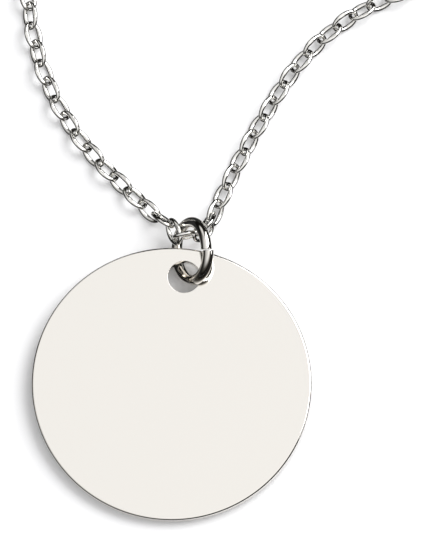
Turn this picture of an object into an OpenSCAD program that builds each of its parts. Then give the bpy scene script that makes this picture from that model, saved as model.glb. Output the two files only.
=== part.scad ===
// Round disc pendant on a fine cable chain, laid down on a table.
// The origin is on the table under the middle of the disc. +Y runs up to the neck loop, +Z is up.

/* [Disc] */
// Diameter of the disc
disc_d = 25.4; // [25.2:0.1:25.6]
// Thickness of the disc
disc_t = 1; // [0.9:0.05:1.05]
// Radius of the eased edge
disc_edge_r = 0.2; // [0.1:0.05:0.3]
// Rise of the disc towards the hole, where it lies on the jump ring
disc_tilt = 2.9; // [2.8:0.1:3]
// Diameter of the hole
hole_d = 2.95; // [2.9:0.05:3.1]
// Metal left between the hole and the rim
hole_margin = 1.2; // [1.1:0.05:1.25]
// Turn of the hole off the top of the disc, clockwise
hole_turn = 6.5; // [6:0.5:7]
// Bevel at both mouths of the hole
hole_bevel = 0.08; // [0.05:0.01:0.12]

/* [Jump ring] */
// Outer diameter of the ring
ring_d = 6.25; // [6.2:0.05:6.3]
// Wire diameter of the ring
ring_wire = 1; // [0.9:0.05:1]
// Middle of the ring, to the right
ring_x = 1.85; // [1.8:0.05:1.9]
// Middle of the ring, up the table
ring_y = 12.15; // [12.1:0.05:12.2]
// Climb of the ring's long axis
ring_climb = 16; // [15:1:17]
// Lean of the ring about its long axis, right side up
ring_lean = 58; // [57:1:59]
// Place of the cut, clockwise from the top of the ring
cut_at = 88; // [80:1:100]
// Width of the cut
cut_gap = 0.08; // [0.05:0.01:0.2]
// Sideways miss of the two ends at the cut
cut_miss = 0.2; // [0:0.05:0.25]

/* [Chain] */
// Outer length of a link
link_l = 2.76; // [2.76:0.01:2.78]
// Outer width of a link
link_w = 1.95; // [1.9:0.05:2]
// Wire diameter of a link
link_wire = 0.38; // [0.36:0.01:0.38]
// Roll of the flatter links about the chain's line
flat_roll = 37; // [35:1:40]

/* [Clasp] */
// Outer diameter of the clasp's ring
clasp_d = 6; // [5.5:0.5:6]
// Wire diameter of the clasp's ring
clasp_wire = 0.6; // [0.5:0.05:0.6]
// Outer diameter of its eye
eye_d = 2.7; // [2.6:0.1:2.8]
// Wire diameter of its eye
eye_wire = 0.45; // [0.4:0.05:0.45]

/* [Hidden] */
$fn = 48;

// Links beside the jump ring, left to right: place of the middle, heading from +X,
// climb along the heading, and roll about the long axis.
// x, y, z, heading, climb, roll
near_left = [
    [-0.8, 15.5, 1.45, -45, 24, -60],
    [0.2, 14.15, 2.2, -68, 11, 56],
    [1.4, 13.65, 2.8, 11, -6, -86]
];
near_right = [
    [2.85, 14.25, 1.95, 40, -29, 48],
    [3.35, 15.35, 1.55, 78, -47, -56]
];

// Course of the chain on the table from the ring's left side round to its right: x, y
course = [
    [-1.4, 15.9],
    [-4.1, 18.6],
    [-6.8, 21.4],
    [-9, 24.3],
    [-10.8, 27.5],
    [-12.1, 31],
    [-12.9, 34.6],
    [-13.3, 38.4],
    [-14.2, 44],
    [-17.5, 54],
    [-25, 67],
    [-36, 84],
    [-43, 103],
    [-46, 124],
    [-42, 146],
    [-31, 167],
    [-14, 180],
    [8, 185.3],
    [30, 184.8],
    [49, 175],
    [61, 160],
    [68, 142],
    [71, 125],
    [70, 104],
    [64, 85],
    [54, 67],
    [44, 54],
    [34, 44.5],
    [27, 39.8],
    [22.5, 37.9],
    [18.9, 36.5],
    [15.6, 34.5],
    [12.8, 32],
    [10.4, 28.9],
    [8.5, 25.7],
    [6.7, 22.4],
    [5.1, 19.1],
    [3.6, 15.5]
];

// Smooth curve through the course's points
steps = 6;
last = len(course) - 1;
function point_at(i) = course[max(0, min(last, i))];
function smooth(a, b, c, d, t) =
    b + (c - a) * t / 2 + (a - b * 2.5 + c * 2 - d / 2) * t * t + (d - a + (b - c) * 3) * t * t * t / 2;
curve = [
    for (i = [0:last - 1], k = [0:steps - 1])
        smooth(point_at(i - 1), point_at(i), point_at(i + 1), point_at(i + 2), k / steps),
    course[last]
];
run = [
    for (i = 0, s = 0; i < len(curve); i = i + 1, s = i < len(curve) ? s + norm(curve[i] - curve[i - 1]) : s)
        s
];
course_l = run[len(run) - 1];
x_at = [for (i = [0:len(run) - 1]) [run[i], curve[i][0]]];
y_at = [for (i = [0:len(run) - 1]) [run[i], curve[i][1]]];
function place(s) = [lookup(s, x_at), lookup(s, y_at)];

// Pitch of the links, play of the end links in the clasp, and overlap where its eye is soldered on
usual_pitch = 1.84;
play = 0.25;
weld = 0.15;
bend_r = (link_w - link_wire) / 2;
clasp_r = (clasp_d - clasp_wire) / 2;
eye_r = (eye_d - eye_wire) / 2;
eye_reach = clasp_r + eye_r + (clasp_wire + eye_wire) / 2 - weld;
clasp_span = clasp_r + eye_reach + eye_r - (clasp_wire + eye_wire) / 2 + link_l - 2 * link_wire - 2 * play;
side_links = round((course_l - clasp_span) / 2 / usual_pitch + 0.5);
end_run = (course_l - clasp_span) / 2;
pitch = end_run / (side_links - 0.5);
function roll_of(i) = i % 2 == 0 ? flat_roll - 90 : flat_roll;
function rest_of(roll) = bend_r * abs(sin(roll)) + link_wire / 2;

module oval_link() {
    straight = link_l - link_w;
    for (end = [0, 180]) {
        rotate([0, 0, end]) {
            translate([straight / 2, 0, 0])
                rotate([0, 0, -90])
                    rotate_extrude(angle = 180)
                        translate([bend_r, 0])
                            circle(d = link_wire);
            translate([-straight / 2, bend_r, 0])
                rotate([0, 90, 0])
                    cylinder(h = straight, d = link_wire);
        }
    }
}

module near_link(row) {
    translate([row[0], row[1], row[2]])
        rotate([0, 0, row[3]])
            rotate([0, -row[4], 0])
                rotate([row[5], 0, 0])
                    oval_link();
}

module lying_link(s, roll) {
    from = place(s - pitch / 2);
    to = place(s + pitch / 2);
    translate([(from[0] + to[0]) / 2, (from[1] + to[1]) / 2, rest_of(roll)])
        rotate([roll, 0, atan2(to[1] - from[1], to[0] - from[0])])
            oval_link();
}

module chain_left() {
    color("silver") {
        for (row = near_left)
            near_link(row);
        for (i = [0:side_links - 1])
            lying_link((i + 0.5) * pitch, roll_of(i));
    }
}

module chain_right() {
    color("silver") {
        for (row = near_right)
            near_link(row);
        for (i = [0:side_links - 1])
            lying_link(course_l - (i + 0.5) * pitch, roll_of(i));
    }
}

// Disc
disc_r = disc_d / 2;
hole_at = disc_r - hole_margin - hole_d / 2;
disc_lift = (disc_r - disc_edge_r) * sin(disc_tilt) + disc_edge_r * (1 - cos(disc_tilt));

module disc_outline() {
    square([disc_r - disc_edge_r, disc_t]);
    translate([0, disc_edge_r])
        square([disc_r, disc_t - 2 * disc_edge_r]);
    for (y = [disc_edge_r, disc_t - disc_edge_r])
        translate([disc_r - disc_edge_r, y])
            circle(r = disc_edge_r);
}

module hole_cut() {
    over = 0.5;
    translate([0, 0, -over])
        cylinder(h = disc_t + 2 * over, d = hole_d);
    for (face = [0, 1])
        translate([0, 0, face * disc_t])
            mirror([0, 0, face])
                translate([0, 0, -over])
                    cylinder(h = over + hole_bevel, r1 = hole_d / 2 + hole_bevel + over, r2 = hole_d / 2);
}

module disc() {
    color("whitesmoke")
        translate([0, 0, disc_lift])
            rotate([disc_tilt, 0, 0])
                difference() {
                    rotate_extrude($fn = 96)
                        disc_outline();
                    rotate([0, 0, -hole_turn])
                        translate([0, hole_at, 0])
                            hole_cut();
                }
}

// Jump ring, standing with its lowest point on the table
ring_r = (ring_d - ring_wire) / 2;
ring_rise = ring_r * norm([sin(ring_climb), sin(ring_lean) * cos(ring_climb)]) + ring_wire / 2;

module jump_ring() {
    half_sweep = 180 - cut_gap / ring_r * 90 / PI;
    half_miss = asin(cut_miss / 4 / ring_r);
    color("silver")
        translate([ring_x, ring_y, ring_rise])
            rotate([ring_climb, 0, 0])
                rotate([0, -ring_lean, 0])
                    rotate([0, 0, -90 - cut_at])
                        for (half = [0, 1])
                            mirror([0, half, 0])
                                translate([ring_r, 0, 0])
                                    rotate([0, half_miss * (half * 2 - 1), 0])
                                        translate([-ring_r, 0, 0])
                                            rotate_extrude(angle = half_sweep, $fn = 96)
                                                translate([ring_r, 0])
                                                    circle(d = ring_wire);
}

// Closed ring with its eye, held by the end links at the height of their middles
module clasp() {
    left_end = place(end_run);
    right_end = place(course_l - end_run);
    middle = (left_end + right_end) / 2;
    shift = (eye_reach + eye_r - clasp_r) / 2;
    color("silver")
        translate([middle[0], middle[1], rest_of(roll_of(side_links - 1))])
            rotate([0, 0, atan2(right_end[1] - left_end[1], right_end[0] - left_end[0])]) {
                translate([-shift, 0, 0])
                    rotate_extrude()
                        translate([clasp_r, 0])
                            circle(d = clasp_wire);
                translate([eye_reach - shift, 0, 0])
                    rotate_extrude()
                        translate([eye_r, 0])
                            circle(d = eye_wire);
            }
}

disc();
jump_ring();
chain_left();
chain_right();
clasp();
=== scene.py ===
import math

import bmesh
import bpy
import numpy as np
from mathutils import Matrix, Vector


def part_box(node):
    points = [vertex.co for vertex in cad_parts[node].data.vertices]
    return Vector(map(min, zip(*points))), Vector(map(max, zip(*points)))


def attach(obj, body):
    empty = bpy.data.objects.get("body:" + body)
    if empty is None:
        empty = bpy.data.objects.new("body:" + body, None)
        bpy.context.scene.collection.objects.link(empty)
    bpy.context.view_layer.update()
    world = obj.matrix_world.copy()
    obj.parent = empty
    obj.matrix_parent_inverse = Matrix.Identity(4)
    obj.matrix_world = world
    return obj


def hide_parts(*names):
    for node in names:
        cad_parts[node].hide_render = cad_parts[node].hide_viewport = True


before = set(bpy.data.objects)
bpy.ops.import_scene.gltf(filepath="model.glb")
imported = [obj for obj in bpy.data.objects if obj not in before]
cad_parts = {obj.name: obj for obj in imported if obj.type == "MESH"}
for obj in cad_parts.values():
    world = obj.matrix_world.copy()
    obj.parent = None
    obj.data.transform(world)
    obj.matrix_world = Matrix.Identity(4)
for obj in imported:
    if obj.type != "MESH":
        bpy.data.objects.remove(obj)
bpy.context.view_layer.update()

bl_info = {
    "name": "Disc pendant necklace",
    "version": (1, 0, 0),
    "blender": (4, 5, 0),
    "location": "3D View > Sidebar > Pendant",
    "description": "A round disc pendant on a fine cable chain, laid down on a pale table",
    "category": "Add Mesh",
}

MM = 0.001
# Points closer than this are taken as one
NEAR = 0.001 * MM


def length_setting(name, description, default):
    return bpy.props.FloatProperty(
        name=name, description=description, default=default, unit="LENGTH", precision=5)


def angle_setting(name, description, degrees):
    return bpy.props.FloatProperty(
        name=name, description=description, default=math.radians(degrees), subtype="ANGLE")


def place_setting(name, description, default):
    return bpy.props.FloatVectorProperty(
        name=name, description=description, size=len(default), default=default, unit="LENGTH", precision=5)


def colour_setting(name, description, default):
    return bpy.props.StringProperty(name=name, description=f"{description}, sRGB hex", default=default)


# Sizes and colours that a user would change
class DiscSettings(bpy.types.PropertyGroup):
    diameter: length_setting("Diameter", "Diameter of the disc", 25.4 * MM)
    thickness: length_setting("Thickness", "Thickness of the sheet", 1 * MM)
    edge_radius: length_setting("Edge radius", "Radius of the eased rim", 0.2 * MM)
    tilt: angle_setting("Tilt", "Rise towards the hole, where the disc lies on the jump ring", 2.9)
    hole_diameter: length_setting("Hole", "Diameter of the hole", 2.95 * MM)
    hole_margin: length_setting("Margin", "Metal between the hole and the rim", 1.2 * MM)
    hole_turn: angle_setting("Hole turn", "Turn of the hole off the top of the disc, clockwise", 6.5)
    hole_bevel: length_setting("Hole bevel", "Bevel at both mouths of the hole", 0.08 * MM)


class RingSettings(bpy.types.PropertyGroup):
    diameter: length_setting("Diameter", "Outer diameter of the jump ring", 6.25 * MM)
    wire: length_setting("Wire", "Wire diameter", 1 * MM)
    place: place_setting(
        "Place", "Middle of the ring on the table, to the right and up", (1.85 * MM, 12.15 * MM))
    climb: angle_setting("Climb", "Climb of the ring's long axis", 16)
    lean: angle_setting("Lean", "Lean about the long axis, right side up", 58)
    cut_at: angle_setting("Cut at", "Place of the cut, clockwise from the top", 88)
    cut_gap: length_setting("Cut gap", "Width of the cut", 0.08 * MM)
    cut_miss: length_setting("Cut miss", "Sideways miss of the two ends", 0.2 * MM)
    cut_edge: length_setting("Cut edge", "Bevel at the two ends' edges", 0.04 * MM)


class ChainSettings(bpy.types.PropertyGroup):
    link_length: length_setting("Link length", "Outer length of a link", 2.76 * MM)
    link_width: length_setting("Link width", "Outer width of a link", 1.95 * MM)
    wire: length_setting("Wire", "Wire diameter of a link", 0.38 * MM)
    end_radius: length_setting("End radius", "Radius of the wire's middle at a link's ends", 0.62 * MM)
    spread: bpy.props.FloatProperty(
        name="Spread", description="How much wider the rollers make the wire at a link's sides", default=0.2)
    pressed: length_setting("Pressed", "Depth that the rollers take off a link's high side", 0.038 * MM)
    close_up: length_setting(
        "Close-up reach", "How far up from the disc the links have a finer surface", 42 * MM)


class ClaspSettings(bpy.types.PropertyGroup):
    diameter: length_setting("Diameter", "Outer diameter of the clasp's ring", 6 * MM)
    wire: length_setting("Wire", "Wire diameter of the ring", 0.6 * MM)
    eye_diameter: length_setting("Eye", "Outer diameter of the eye", 2.7 * MM)
    eye_wire: length_setting("Eye wire", "Wire diameter of the eye", 0.45 * MM)


class FinishSettings(bpy.types.PropertyGroup):
    sheet_colour: colour_setting("Sheet", "Colour of the polished sheet", "#F6F3EE")
    wire_colour: colour_setting("Wire", "Colour of the jump ring's and clasp's wire", "#F2EFEA")
    link_colour: colour_setting("Links", "Colour of the chain's links", "#F6F5F2")
    table_colour: colour_setting("Table", "Colour of the table", "#F4F4F5")


class StageSettings(bpy.types.PropertyGroup):
    climb: angle_setting("Camera climb", "Height angle of the camera over the table", 73.5)
    distance: length_setting("Camera distance", "Distance of the camera from what it looks at", 1.5)
    look_at: place_setting("Look at", "Middle of the picture", (3.8 * MM, 11.17 * MM, 0.8 * MM))
    view_height: length_setting("View height", "Height of the picture at that distance", 48.68 * MM)
    table_size: length_setting("Table", "Width of the table", 4)


# Modelling helpers
def clear_selection():
    bpy.ops.object.select_all(action="DESELECT")


def select_only(piece):
    clear_selection()
    piece.select_set(True)
    bpy.context.view_layer.objects.active = piece


def newest(name):
    """The object that the last operator added, under its own name."""
    piece = bpy.context.object
    piece.name = name
    piece.data.name = name
    return piece


def select_where(kind, test):
    """In edit mode, selects the vertices, edges or faces that pass the test."""
    bpy.context.tool_settings.mesh_select_mode = (kind == "verts", kind == "edges", kind == "faces")
    bpy.ops.mesh.select_all(action="DESELECT")
    mesh = bmesh.from_edit_mesh(bpy.context.edit_object.data)
    for part in getattr(mesh, kind):
        if test(part):
            part.select_set(True)
    mesh.select_flush_mode()
    bmesh.update_edit_mesh(bpy.context.edit_object.data)


def apply_modifier(piece, kind, **settings):
    select_only(piece)
    modifier = piece.modifiers.new(kind.title(), kind)
    for name, value in settings.items():
        setattr(modifier, name, value)
    bpy.ops.object.modifier_apply(modifier=modifier.name)


def put_at(piece, place):
    """Moves a piece modelled at the origin to its place, and keeps that place in its mesh."""
    select_only(piece)
    piece.matrix_world = place
    bpy.ops.object.transform_apply(location=True, rotation=True, scale=True)


def join(pieces, name):
    clear_selection()
    for piece in pieces:
        piece.select_set(True)
    bpy.context.view_layer.objects.active = pieces[0]
    bpy.ops.object.join()
    return newest(name)


def smooth(piece, angle=math.radians(40)):
    select_only(piece)
    bpy.ops.object.shade_smooth_by_angle(angle=angle)


def turn(angle, axis):
    return Matrix.Rotation(angle, 4, axis)


def corners(piece):
    points = np.array([vertex.co for vertex in piece.data.vertices])
    return points.min(0), points.max(0)


def stand_for(piece, node, material, slack=0.06 * MM):
    """The piece takes the place of a CAD node, after a test that it fills the same box."""
    for own, cad in zip(corners(piece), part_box(node)):
        if np.abs(own - np.array(cad)).max() > slack:
            raise RuntimeError(f"{piece.name} is not where {node} is: {own} and {tuple(cad)}")
    piece.data.materials.clear()
    piece.data.materials.append(material)
    # The CAD node has the same finish, although it isn't shown
    cad_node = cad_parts[node]
    cad_node.data.materials.clear()
    cad_node.data.materials.append(material)
    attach(piece, "root")
    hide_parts(node)


# Material helpers
def linear(colour):
    """An sRGB hex colour as the linear values that a shader takes."""
    channels = [int(colour[i:i + 2], 16) / 255 for i in (1, 3, 5)]
    return tuple(c / 12.92 if c <= 0.04045 else ((c + 0.055) / 1.055) ** 2.4 for c in channels) + (1,)


def per_mm(size):
    """Texture scale of a pattern whose features are this many millimetres across."""
    return 1 / (size * MM)


def add_node(tree, kind, inputs=None, **settings):
    """Adds a node. Each input takes a value, or the socket that it is linked to."""
    node = tree.nodes.new(kind)
    for name, value in settings.items():
        setattr(node, name, value)
    for socket, value in (inputs or {}).items():
        if isinstance(value, bpy.types.NodeSocket):
            tree.links.new(value, node.inputs[socket])
        else:
            node.inputs[socket].default_value = value
    return node


def seen_in_metal(tree):
    """1 for what the camera sees mirrored in metal, and 0 for all the light that falls on the table."""
    path = add_node(tree, "ShaderNodeLightPath").outputs
    straight = add_node(tree, "ShaderNodeMath", {0: path["Diffuse Depth"], 1: 0.5}, operation="LESS_THAN")
    return add_node(tree, "ShaderNodeMath", {
        0: path["Is Glossy Ray"], 1: straight.outputs["Value"]}, operation="MULTIPLY").outputs["Value"]


def new_material(name):
    material = bpy.data.materials.new(name)
    material.use_nodes = True
    material.node_tree.nodes.clear()
    return material, material.node_tree


def polished_silver(name, colour, smear, waves, scratches):
    """Sterling silver after the polishing wheel: a near mirror. smear is the low and high roughness that
    finger marks leave, waves the size and depth of the slow unevenness, scratches those of the hairlines."""
    material, tree = new_material(name)
    place = add_node(tree, "ShaderNodeTexCoord").outputs["Object"]
    marks = add_node(tree, "ShaderNodeTexNoise", {"Vector": place, "Scale": per_mm(2.5), "Detail": 4})
    roughness = add_node(tree, "ShaderNodeMapRange", {
        "Value": marks.outputs["Fac"], "From Min": 0.35, "From Max": 0.7,
        "To Min": smear[0], "To Max": smear[1]})
    # Hairlines run one way, so the noise is drawn out along it
    along = add_node(tree, "ShaderNodeMapping", {
        "Vector": place, "Rotation": (0, 0, math.radians(28)), "Scale": (0.06, 1, 1)})
    hairlines = add_node(tree, "ShaderNodeTexNoise", {
        "Vector": along.outputs["Vector"], "Scale": per_mm(scratches[0]), "Detail": 2})
    swell = add_node(tree, "ShaderNodeTexNoise", {"Vector": place, "Scale": per_mm(waves[0]), "Detail": 1})
    waved = add_node(tree, "ShaderNodeBump", {
        "Height": swell.outputs["Fac"], "Distance": waves[1] * MM, "Strength": 1})
    scratched = add_node(tree, "ShaderNodeBump", {
        "Height": hairlines.outputs["Fac"], "Distance": scratches[1] * MM, "Strength": 1,
        "Normal": waved.outputs["Normal"]})
    shader = add_node(tree, "ShaderNodeBsdfPrincipled", {
        "Base Color": linear(colour), "Metallic": 1, "Roughness": roughness.outputs["Result"],
        "Normal": scratched.outputs["Normal"]})
    add_node(tree, "ShaderNodeOutputMaterial", {"Surface": shader.outputs["BSDF"]})
    return material


def satin_board(name, colour):
    """Matt white card: even and soft, with a grain too fine to see, so the metal is all that shines.
    In metal's reflections at a slant it is painted near-black, a painted reflection of a dark room.
    """
    material, tree = new_material(name)
    place = add_node(tree, "ShaderNodeTexCoord").outputs["Object"]
    grain = add_node(tree, "ShaderNodeTexNoise", {"Vector": place, "Scale": per_mm(0.4), "Detail": 3})
    raised = add_node(tree, "ShaderNodeBump", {
        "Height": grain.outputs["Fac"], "Distance": 0.004 * MM, "Strength": 0.5})
    shader = add_node(tree, "ShaderNodeBsdfPrincipled", {
        "Base Color": linear(colour), "Roughness": 0.9, "Specular IOR Level": 0.1,
        "Normal": raised.outputs["Normal"]})
    # Painted reflection: metal that looks along the card sees past the lit part, into a dark room painted on
    # it
    slant = add_node(tree, "ShaderNodeLayerWeight", {"Blend": 0.5}).outputs["Facing"]
    far = add_node(tree, "ShaderNodeMapRange", {"Value": slant, "From Min": 0.12, "From Max": 0.42})
    painted_dark_share = add_node(tree, "ShaderNodeMath", {
        0: far.outputs["Result"], 1: seen_in_metal(tree)}, operation="MULTIPLY")
    # Near-black painted reflection that metal sees on the card at a slant, not the card's own colour
    dark = add_node(tree, "ShaderNodeBsdfDiffuse", {"Color": (0.02, 0.02, 0.02, 1)})
    both = add_node(tree, "ShaderNodeMixShader", {
        0: painted_dark_share.outputs["Value"], 1: shader.outputs["BSDF"], 2: dark.outputs["BSDF"]})
    add_node(tree, "ShaderNodeOutputMaterial", {"Surface": both.outputs["Shader"]})
    return material


# The pieces
def disc_place(sizes):
    """The disc lies on its lower edge and is tilted up towards the hole."""
    radius = sizes.diameter / 2
    edge = sizes.edge_radius
    lift = (radius - edge) * math.sin(sizes.tilt) + edge * (1 - math.cos(sizes.tilt))
    return Matrix.Translation((0, 0, lift)) @ turn(sizes.tilt, "X")


class PENDANT_OT_disc(bpy.types.Operator):
    """Disc: a round blank with an eased rim and a bevelled hole"""
    bl_idname = "pendant.disc"
    bl_label = "Disc"

    def execute(self, context):
        sizes = context.scene.pendant_disc
        radius = sizes.diameter / 2
        hole_radius = sizes.hole_diameter / 2
        hole_at = radius - sizes.hole_margin - hole_radius
        hole = Vector((math.sin(sizes.hole_turn) * hole_at, math.cos(sizes.hole_turn) * hole_at))
        clear_selection()
        bpy.ops.mesh.primitive_cylinder_add(
            vertices=256, radius=radius, depth=sizes.thickness, location=(0, 0, sizes.thickness / 2))
        disc = newest("disc_plate")
        bpy.ops.object.transform_apply(location=True)
        clear_selection()
        bpy.ops.mesh.primitive_cylinder_add(
            vertices=96, radius=hole_radius, depth=3 * sizes.thickness,
            location=(*hole, sizes.thickness / 2))
        punch = newest("hole_punch")
        apply_modifier(disc, "BOOLEAN", operation="DIFFERENCE", object=punch, solver="EXACT")
        bpy.data.objects.remove(punch)

        def on_circle(edge, middle, size):
            """True for an edge that runs round a circle at either face."""
            level = abs(edge.verts[0].co.z - edge.verts[1].co.z) < NEAR
            return level and all(abs((v.co.xy - middle).length - size) < NEAR for v in edge.verts)

        bpy.ops.object.mode_set(mode="EDIT")
        select_where("edges", lambda edge: on_circle(edge, Vector((0, 0)), radius))
        bpy.ops.mesh.bevel(offset=sizes.edge_radius, segments=8, affect="EDGES", clamp_overlap=True)
        select_where("edges", lambda edge: on_circle(edge, hole, hole_radius))
        bpy.ops.mesh.bevel(offset=sizes.hole_bevel, segments=4, affect="EDGES", clamp_overlap=True)
        bpy.ops.object.mode_set(mode="OBJECT")
        smooth(disc)
        apply_modifier(disc, "WEIGHTED_NORMAL", keep_sharp=True, weight=80)
        put_at(disc, disc_place(sizes))
        finish = context.scene.pendant_finish
        # A blank cut from rolled sheet and buffed: an even mirror, with faint smears and hairlines
        material = polished_silver(
            "buffed_silver_sheet", finish.sheet_colour, smear=(0.05, 0.09), waves=(6, 0.002),
            scratches=(0.12, 0.0003))
        stand_for(disc, "disc", material)
        return {"FINISHED"}


class PENDANT_OT_jump_ring(bpy.types.Operator):
    """Jump ring: round wire closed by hand, its two ends a little out of line at the cut"""
    bl_idname = "pendant.jump_ring"
    bl_label = "Jump ring"

    def execute(self, context):
        sizes = context.scene.pendant_ring
        radius = (sizes.diameter - sizes.wire) / 2
        sweep = math.pi - sizes.cut_gap / radius / 2
        miss = math.asin(sizes.cut_miss / 4 / radius)
        start = Vector((radius, 0, 0))

        def on_wire(vertex, middle, normal):
            """True for a vertex of the wire's section that has this middle and this normal."""
            away = vertex.co - middle
            return away.length < sizes.wire / 2 + NEAR and abs(away.dot(normal)) < NEAR

        halves = []
        for side in (1, -1):
            clear_selection()
            bpy.ops.mesh.primitive_circle_add(
                vertices=40, radius=sizes.wire / 2, location=start, rotation=(math.pi / 2, 0, 0))
            half = newest(f"ring_half_{len(halves)}")
            bpy.ops.object.transform_apply(location=True, rotation=True)
            bpy.ops.object.mode_set(mode="EDIT")
            bpy.ops.mesh.select_all(action="SELECT")
            bpy.ops.mesh.spin(steps=90, angle=-side * sweep, center=(0, 0, 0), axis=(0, 0, 1))
            # The sawn end of the wire is closed, and its edge is broken
            end = Vector((math.cos(sweep), math.sin(sweep) * side, 0)) * radius
            along = Vector((math.sin(sweep), -math.cos(sweep) * side, 0))
            select_where("verts", lambda v: on_wire(v, end, along))
            bpy.ops.mesh.edge_face_add()
            bpy.ops.mesh.bevel(offset=sizes.cut_edge, segments=3, affect="EDGES")
            bpy.ops.mesh.select_all(action="SELECT")
            bpy.ops.mesh.normals_make_consistent(inside=False)
            bpy.ops.object.mode_set(mode="OBJECT")
            back = Matrix.Translation(start)
            put_at(half, back @ turn(-side * miss, "Y") @ back.inverted())
            halves.append(half)
        ring = join(halves, "jump_ring_wire")
        bpy.ops.object.mode_set(mode="EDIT")
        # Opposite the cut the two halves meet with their vertices turned a little apart, and are merged there
        apart = sizes.wire * math.sin(miss)
        select_where("verts", lambda v: on_wire(v, start, Vector((0, 1, 0))))
        bpy.ops.mesh.remove_doubles(threshold=1.5 * apart)
        bpy.ops.mesh.select_all(action="SELECT")
        bpy.ops.mesh.normals_make_consistent(inside=False)
        bpy.ops.object.mode_set(mode="OBJECT")
        smooth(ring)
        rise = radius * math.hypot(math.sin(sizes.climb), math.sin(sizes.lean) * math.cos(sizes.climb))
        place = (Matrix.Translation((*sizes.place, rise + sizes.wire / 2)) @ turn(sizes.climb, "X")
                 @ turn(-sizes.lean, "Y") @ turn(-math.pi / 2 - sizes.cut_at, "Z"))
        put_at(ring, place)
        finish = context.scene.pendant_finish
        # Drawn wire, cut from a coil: bright, with fine drawing lines and a few smears from the pliers
        material = polished_silver(
            "drawn_silver_wire", finish.wire_colour, smear=(0.02, 0.07), waves=(1.5, 0.004),
            scratches=(0.06, 0.0005))
        stand_for(ring, "jump_ring", material)
        return {"FINISHED"}


def make_link(sizes, bends, rounds, sides, name):
    """One oval link at the origin, long along X. Its wire is bent in four arcs, and its sides are pressed
    flat as the finished chain is rolled, when every link lies at 45 degrees with one side up. bends and
    rounds are the steps of a quarter's end and side, and sides are the faces round the wire."""
    half_long = (sizes.link_length - sizes.wire) / 2
    half_wide = (sizes.link_width - sizes.wire) / 2
    end_at = half_long - sizes.end_radius
    swell = half_wide - sizes.end_radius
    drop = (end_at ** 2 - swell ** 2) / (2 * swell)
    joint = math.atan2(drop, end_at)
    step = (math.pi / 2 - joint) / rounds

    def angle_of(vertex):
        """Angle of a vertex about the middle of the side's arc."""
        return math.atan2(vertex.co.y + drop, vertex.co.x)

    # A quarter of the link, from the middle of an end to the middle of a side
    clear_selection()
    bpy.ops.mesh.primitive_circle_add(
        vertices=sides, radius=sizes.wire / 2, location=(half_long, 0, 0), rotation=(math.pi / 2, 0, 0))
    link = newest(name)
    bpy.ops.object.transform_apply(location=True, rotation=True)
    bpy.ops.object.mode_set(mode="EDIT")
    bpy.ops.mesh.select_all(action="SELECT")
    bpy.ops.mesh.spin(steps=bends, angle=-joint, center=(end_at, 0, 0), axis=(0, 0, 1))
    select_where("edges", lambda edge: all(abs(angle_of(v) - joint) < math.radians(0.1) for v in edge.verts))
    bpy.ops.mesh.spin(steps=rounds, angle=joint - math.pi / 2, center=(0, -drop, 0), axis=(0, 0, 1))
    turns = [set() for _ in range(rounds + 1)]
    for vertex in bmesh.from_edit_mesh(link.data).verts:
        if vertex.co.y > 0 and angle_of(vertex) > joint + step / 2:
            turns[round((angle_of(vertex) - joint) / step)].add(vertex.index)
    # The rollers spread the wire inwards, the more the nearer it is to the middle of the side
    link.matrix_world = turn(math.pi / 4, "X")
    for number in range(1, rounds + 1):
        at = joint + number * step
        press = math.sin(number / rounds * math.pi / 2) ** 2
        outer_y = ((half_wide + drop) * math.sin(at) - drop) / math.sqrt(2) + sizes.wire / 2
        select_where("verts", lambda v: v.index in turns[number])
        bpy.ops.transform.resize(value=(1, 1 + sizes.spread * press, 1), center_override=(0, outer_y, 0))
    bpy.ops.object.mode_set(mode="OBJECT")
    link.matrix_world = Matrix.Identity(4)
    apply_modifier(link, "MIRROR", use_axis=(True, False, False), use_clip=True, merge_threshold=NEAR)
    other = link.copy()
    other.data = link.data.copy()
    bpy.context.scene.collection.objects.link(other)
    put_at(other, turn(math.pi, "X"))
    link = join([link, other], name)
    bpy.ops.object.mode_set(mode="EDIT")
    bpy.ops.mesh.select_all(action="SELECT")
    bpy.ops.mesh.remove_doubles(threshold=NEAR)
    bpy.ops.mesh.normals_make_consistent(inside=False)
    # One side is pressed flat from above and the other from below. The usual threshold is too coarse here
    link.matrix_world = turn(math.pi / 4, "X")
    level = half_wide / math.sqrt(2) + sizes.wire / 2 - sizes.pressed
    for side in (1, -1):
        bpy.ops.mesh.select_all(action="SELECT")
        bpy.ops.mesh.bisect(
            plane_co=(0, 0, side * level), plane_no=(0, 0, side), use_fill=True, clear_outer=True,
            threshold=NEAR / 10)
    bpy.ops.object.mode_set(mode="OBJECT")
    link.matrix_world = Matrix.Identity(4)
    # A little more than the angle between two faces of the wire, so that only the flats have crisp edges
    smooth(link, 2 * math.pi / sides + math.radians(8))
    return link


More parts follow.
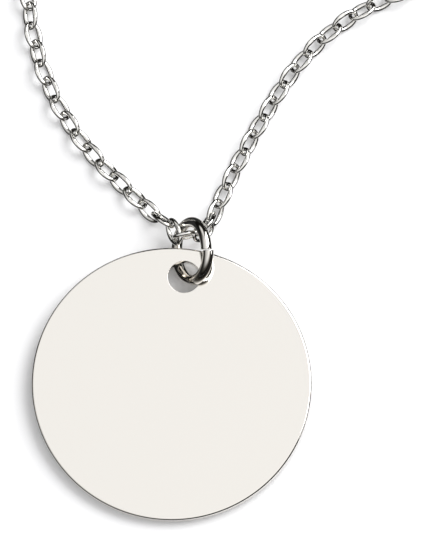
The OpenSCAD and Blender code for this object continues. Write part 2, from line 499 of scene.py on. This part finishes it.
def link_places(node):
    """The place of every link in a chain node, read from its mesh: the middle of each loose solid, with
    its longest direction as X and its flattest as Z."""
    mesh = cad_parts[node].data
    points = np.empty(len(mesh.vertices) * 3, np.float32)
    mesh.vertices.foreach_get("co", points)
    points = points.reshape(-1, 3).astype(float)
    # Vertices at the same place are taken as one, and each takes the least number among its neighbours
    # until every loose solid has a number of its own
    grid = np.round((points - points.min(0)) / NEAR).astype(np.int64)
    span = grid.max(0) + 1
    _, first, same = np.unique(
        (grid[:, 0] * span[1] + grid[:, 1]) * span[2] + grid[:, 2], return_index=True, return_inverse=True)
    corners_of = np.empty(len(mesh.loops), np.int32)
    mesh.loops.foreach_get("vertex_index", corners_of)
    triangles = same[corners_of].reshape(-1, 3)
    group = np.arange(len(first))
    while True:
        least = group[triangles].min(1)
        after = group.copy()
        for corner in range(3):
            np.minimum.at(after, triangles[:, corner], least)
        after = after[after]
        if (after == group).all():
            break
        group = after
    places = []
    for solid in np.unique(group):
        cloud = points[first[group == solid]]
        middle = (cloud.min(0) + cloud.max(0)) / 2
        _, directions = np.linalg.eigh(np.cov((cloud - cloud.mean(0)).T))
        # The side that lies higher is +Y, because the rollers pressed it from above
        flat = directions[:, 0] * (1 if directions[2, 0] > 0 else -1)
        side = directions[:, 1] * (1 if directions[2, 1] > 0 else -1)
        long = np.cross(side, flat)
        place = np.eye(4)
        place[:3, :3] = np.stack([long, side, flat], axis=1)
        place[:3, 3] = middle
        places.append(Matrix(place.tolist()))
    return places


class PENDANT_OT_chain(bpy.types.Operator):
    """Chain: every link of both halves, finer where the picture is close"""
    bl_idname = "pendant.chain"
    bl_label = "Chain"

    def execute(self, context):
        sizes = context.scene.pendant_chain
        finish = context.scene.pendant_finish
        # Links tumbled with steel shot: brighter than the ring, each a little uneven, dull where they rub
        material = polished_silver(
            "tumbled_silver_links", finish.link_colour, smear=(0.02, 0.08), waves=(0.7, 0.006),
            scratches=(0.05, 0.0005))
        fine_link = make_link(sizes, bends=8, rounds=8, sides=24, name="fine_link")
        plain_link = make_link(sizes, bends=2, rounds=1, sides=6, name="plain_link")
        for node in ("chain_left", "chain_right"):
            links = []
            for place in link_places(node):
                model = fine_link if place.translation.y < sizes.close_up else plain_link
                link = model.copy()
                link.data = model.data.copy()
                link.matrix_world = place
                context.scene.collection.objects.link(link)
                links.append(link)
            chain = join(links, f"{node}_links")
            bpy.ops.object.transform_apply(location=True, rotation=True, scale=True)
            # The pressed sides leave the box a little short of the round wire's
            stand_for(chain, node, material, slack=0.08 * MM)
        bpy.data.objects.remove(fine_link)
        bpy.data.objects.remove(plain_link)
        return {"FINISHED"}


class PENDANT_OT_clasp(bpy.types.Operator):
    """Clasp: a plain closed ring with a soldered eye, at the back of the neck loop"""
    bl_idname = "pendant.clasp"
    bl_label = "Clasp"

    def execute(self, context):
        sizes = context.scene.pendant_clasp
        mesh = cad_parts["clasp"].data
        cloud = np.array([vertex.co for vertex in mesh.vertices])
        _, directions = np.linalg.eigh(np.cov((cloud - cloud.mean(0)).T))
        long = Vector(directions[:, 2])
        if long.x < 0:
            long.negate()
        reach = cloud @ np.array(long)
        across = Vector((-long.y, long.x, 0))
        side = (cloud @ np.array(across)).mean()
        low = Vector(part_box("clasp")[0])
        high = Vector(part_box("clasp")[1])
        height = (low.z + high.z) / 2

        def middle(along):
            return long * along + across * side + Vector((0, 0, height))

        # The ring fills the left end of the clasp's length, and the eye the right end
        parts = []
        for wide, wire, along, name in (
                (sizes.diameter, sizes.wire, reach.min() + sizes.diameter / 2, "clasp_ring"),
                (sizes.eye_diameter, sizes.eye_wire, reach.max() - sizes.eye_diameter / 2, "clasp_eye")):
            clear_selection()
            bpy.ops.mesh.primitive_torus_add(
                major_segments=72, minor_segments=20, major_radius=(wide - wire) / 2, minor_radius=wire / 2,
                location=middle(along))
            parts.append(newest(name))
            bpy.ops.object.transform_apply(location=True)
        ring, eye = parts
        apply_modifier(ring, "BOOLEAN", operation="UNION", object=eye, solver="EXACT")
        bpy.data.objects.remove(eye)
        clasp = newest("clasp_body")
        smooth(clasp)
        stand_for(clasp, "clasp", bpy.data.materials["drawn_silver_wire"])
        return {"FINISHED"}


def add_softbox(name, place, aim, size, power):
    """A plain square soft light, turned to what it lights. Its power is in watts."""
    clear_selection()
    bpy.ops.object.light_add(type="AREA", location=place)
    lamp = newest(name)
    lamp.rotation_euler = (Vector(aim) - Vector(place)).to_track_quat("-Z", "Y").to_euler()
    lamp.data.size = size
    lamp.data.energy = power


def light_room():
    """A white tent lights the table from above. The metal mirrors its white top and its dark foot, which
    draws the dark lines along every edge and wire."""
    world = bpy.data.worlds.new("studio")
    bpy.context.scene.world = world
    world.use_nodes = True
    tree = world.node_tree
    tree.nodes.clear()
    direction = add_node(tree, "ShaderNodeTexCoord").outputs["Generated"]
    # The dark foot stands highest at the back, beyond the top of the picture, and higher at the right
    # than at the left. Only the back half of Y counts, so it is no lower in front than at the sides
    back_half = add_node(tree, "ShaderNodeVectorMath", {
        0: direction, 1: (-1, 0, -1)}, operation="MAXIMUM").outputs["Vector"]
    height = add_node(tree, "ShaderNodeVectorMath", {
        0: back_half, 1: (-0.28, -0.55, 1)}, operation="DOT_PRODUCT").outputs["Value"]
    # A white card at the back left, above the dark foot, lights the right of the jump ring's upper arc
    towards_card = add_node(tree, "ShaderNodeVectorMath", {
        0: direction, 1: (-0.42, 0.68, 0.6)}, operation="DOT_PRODUCT").outputs["Value"]
    card = add_node(tree, "ShaderNodeMapRange", {
        "Value": towards_card, "From Min": 0.93, "From Max": 0.97, "To Max": 0.6})
    raised = add_node(tree, "ShaderNodeMath", {0: height, 1: card.outputs["Result"]}, operation="ADD")
    ceiling = add_node(tree, "ShaderNodeValToRGB", {"Fac": raised.outputs["Value"]})
    ramp = ceiling.color_ramp
    ramp.elements[0].position = 0.25
    ramp.elements[0].color = (0.01, 0.009, 0.008, 1)
    ramp.elements[1].position = 0.82
    ramp.elements[1].color = (0.97, 0.965, 0.955, 1)
    foot = ramp.elements.new(0.5)
    foot.color = (0.1, 0.095, 0.085, 1)
    # The lamps stand at the right, so the white is brighter towards them
    side = add_node(tree, "ShaderNodeVectorMath", {
        0: direction, 1: (0.6, 0, 0)}, operation="DOT_PRODUCT").outputs["Value"]
    brightness = add_node(tree, "ShaderNodeMath", {0: side, 1: 1}, operation="ADD").outputs["Value"]
    mirrored = add_node(tree, "ShaderNodeBackground", {
        "Color": ceiling.outputs["Color"], "Strength": brightness})
    # The tent's lit walls start well above the table, so little light creeps in under the disc
    climb = add_node(tree, "ShaderNodeSeparateXYZ", {"Vector": direction}).outputs["Z"]
    wall = add_node(tree, "ShaderNodeMapRange", {
        "Value": climb, "From Min": 0.3, "From Max": 0.6, "To Max": 0.87})
    tent = add_node(tree, "ShaderNodeBackground", {"Color": (1, 1, 1, 1), "Strength": wall.outputs["Result"]})
    both = add_node(tree, "ShaderNodeMixShader", {
        0: seen_in_metal(tree), 1: tent.outputs[0], 2: mirrored.outputs[0]})
    add_node(tree, "ShaderNodeOutputWorld", {"Surface": both.outputs[0]})


class PENDANT_OT_stage(bpy.types.Operator):
    """Stage: the pale table, the soft lights and the camera"""
    bl_idname = "pendant.stage"
    bl_label = "Stage"

    def execute(self, context):
        sizes = context.scene.pendant_stage
        clear_selection()
        bpy.ops.mesh.primitive_plane_add(size=sizes.table_size, location=(0, 0, 0))
        table = newest("table_top")
        table.data.materials.append(satin_board("matt_white_card", context.scene.pendant_finish.table_colour))
        light_room()
        add_softbox("key_light", place=(0.65, 0.5, 0.85), aim=sizes.look_at, size=0.9, power=12)
        add_softbox("side_light", place=(1.1, -0.1, 0.35), aim=sizes.look_at, size=0.3, power=0.6)
        away = Vector((0, -math.cos(sizes.climb), math.sin(sizes.climb)))
        place = Vector(sizes.look_at) + away * sizes.distance
        clear_selection()
        bpy.ops.object.camera_add(location=place)
        camera = newest("camera")
        camera.rotation_euler = (-away).to_track_quat("-Z", "Y").to_euler()
        # The picture is taller than wide, so its height spans the sensor, in millimetres
        camera.data.sensor_fit = "VERTICAL"
        camera.data.sensor_height = 36
        camera.data.lens = camera.data.sensor_height * sizes.distance / sizes.view_height
        camera.data.clip_start = 0.01
        camera.data.clip_end = 20
        context.scene.camera = camera
        context.scene.view_settings.view_transform = "Standard"
        return {"FINISHED"}


PIECES = (PENDANT_OT_disc, PENDANT_OT_jump_ring, PENDANT_OT_chain, PENDANT_OT_clasp, PENDANT_OT_stage)
SETTINGS = {
    "pendant_disc": DiscSettings,
    "pendant_ring": RingSettings,
    "pendant_chain": ChainSettings,
    "pendant_clasp": ClaspSettings,
    "pendant_finish": FinishSettings,
    "pendant_stage": StageSettings,
}


class PENDANT_PT_panel(bpy.types.Panel):
    """Lists the pieces of the pendant and their sizes"""
    bl_idname = "PENDANT_PT_panel"
    bl_label = "Disc pendant"
    bl_space_type = "VIEW_3D"
    bl_region_type = "UI"
    bl_category = "Pendant"

    def draw(self, context):
        for name, group in SETTINGS.items():
            box = self.layout.box()
            for size in group.__annotations__:
                box.prop(getattr(context.scene, name), size)
        for piece in PIECES:
            self.layout.operator(piece.bl_idname)


def register():
    for name, group in SETTINGS.items():
        bpy.utils.register_class(group)
        setattr(bpy.types.Scene, name, bpy.props.PointerProperty(type=group))
    for piece in PIECES:
        bpy.utils.register_class(piece)
    bpy.utils.register_class(PENDANT_PT_panel)


def unregister():
    bpy.utils.unregister_class(PENDANT_PT_panel)
    for piece in reversed(PIECES):
        bpy.utils.unregister_class(piece)
    for name, group in reversed(SETTINGS.items()):
        delattr(bpy.types.Scene, name)
        bpy.utils.unregister_class(group)


def main():
    register()
    bpy.ops.pendant.disc()
    bpy.ops.pendant.jump_ring()
    bpy.ops.pendant.chain()
    bpy.ops.pendant.clasp()
    bpy.ops.pendant.stage()


if __name__ == "__main__":
    main()
